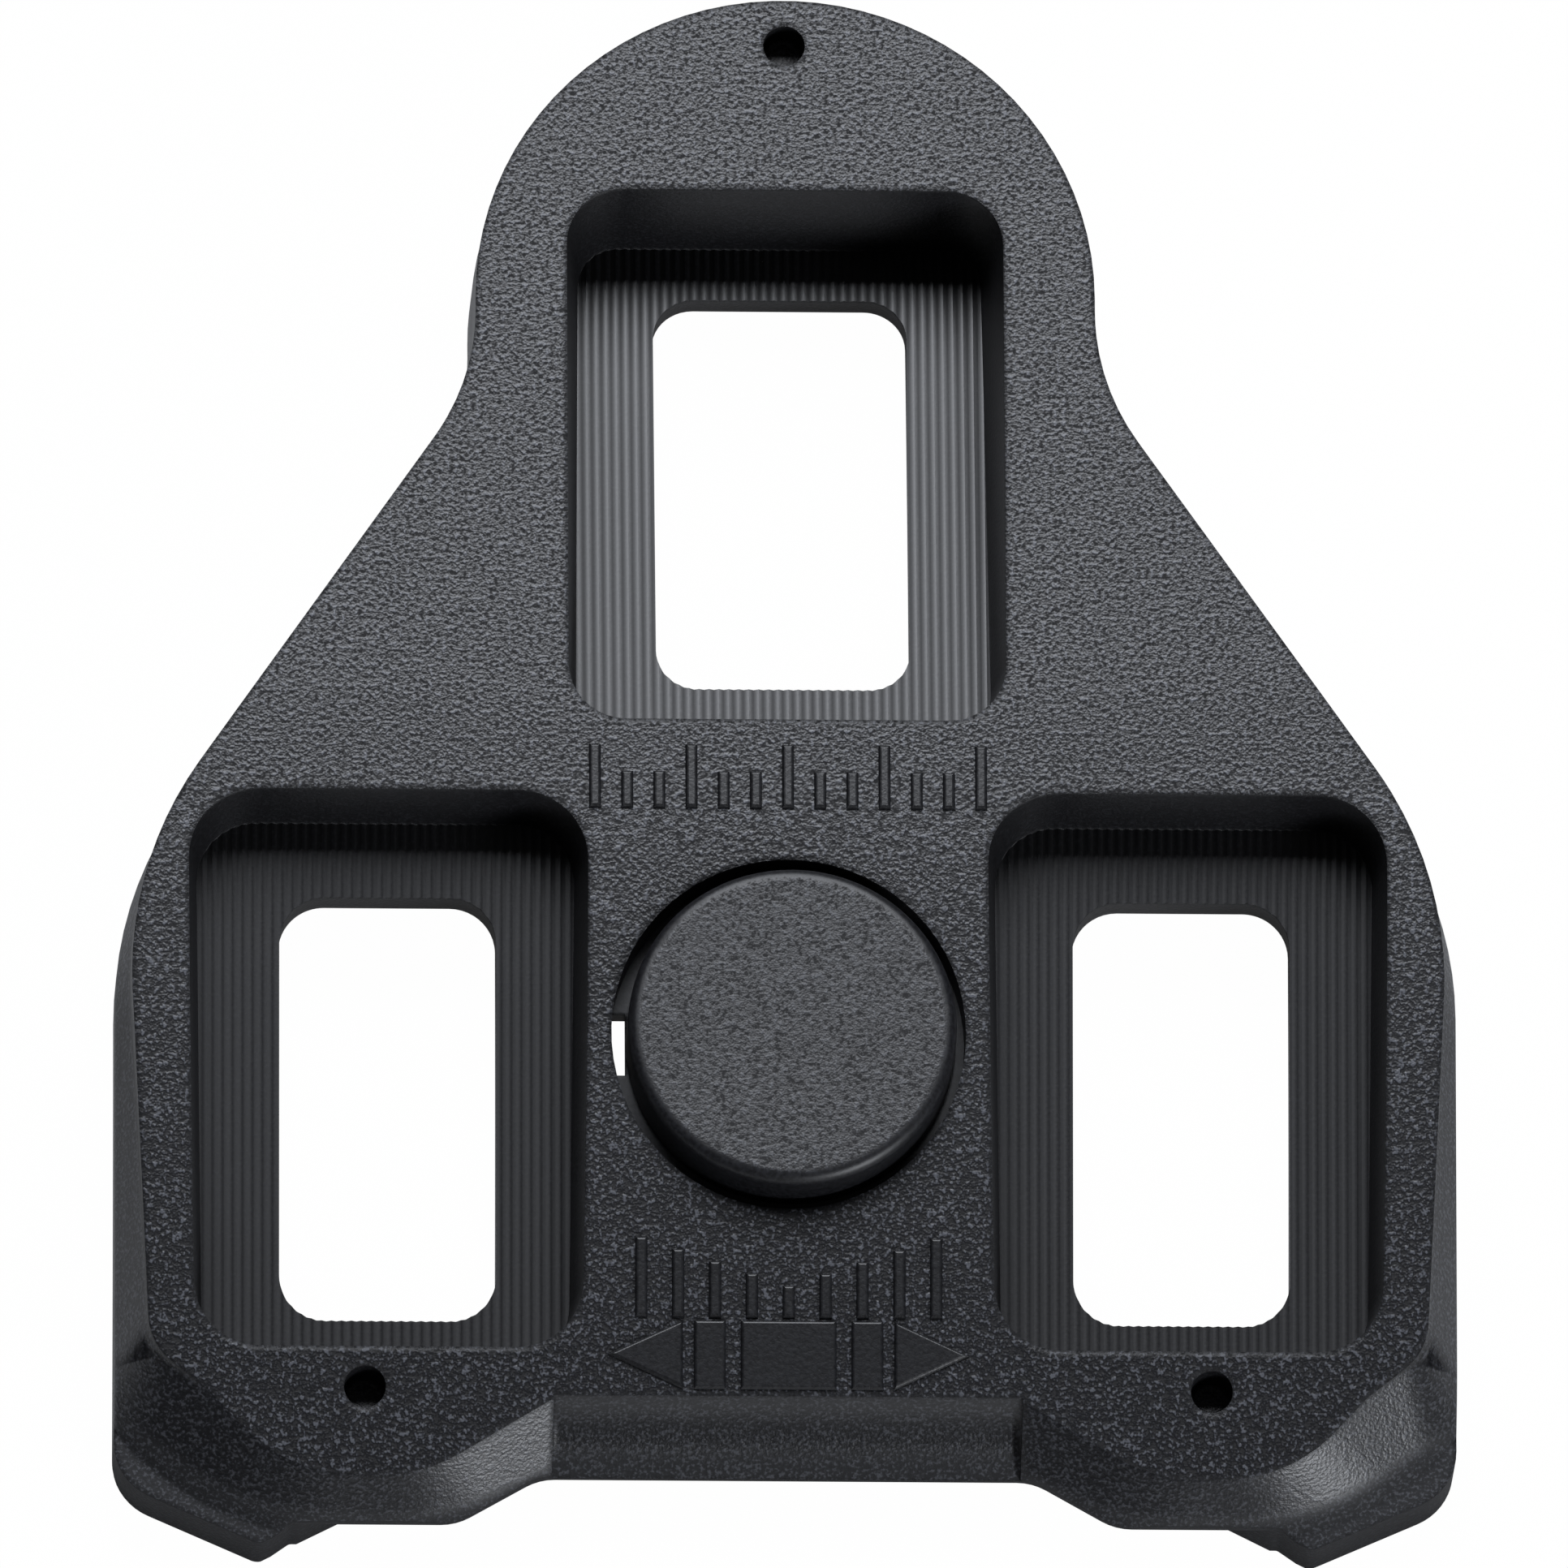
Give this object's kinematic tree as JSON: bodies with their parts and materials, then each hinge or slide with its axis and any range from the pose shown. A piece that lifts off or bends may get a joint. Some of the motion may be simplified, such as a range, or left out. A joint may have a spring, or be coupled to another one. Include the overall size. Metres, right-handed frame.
{
  "type": "clipless pedal cleat",
  "caption": "Road shoe cleat that clips into a pedal, with slotted washer pockets for the sole bolts and a sprung centre pad.",
  "frame": {"origin": "middle of the length and width, on the plane the cleat rests on", "axes": "+Y towards the nose, +Z towards the pedal, +X to the right seen from the pedal side with the nose up"},
  "size_m": [0.0674, 0.079, 0.0115],
  "materials": {
    "cleat_body": "fine spark-eroded grain",
    "centre_pad": "finer grain with a smooth rim",
    "pad_spring": "rolled spring steel"
  },
  "bodies": {
    "cleat": {"cleat_body": "cleat_body", "pad_spring": "pad_spring"},
    "pad": {"centre_pad": "centre_pad"}
  },
  "joints": [
    {"name": "pad_press", "type": "slide", "parent": "cleat", "child": "pad", "axis": [0, 0, -1], "range_m": [0, 0.001], "stiffness_N_per_m": 2000, "springref_m": -0.0005, "deforming": ["pad_spring"]}
  ]
}
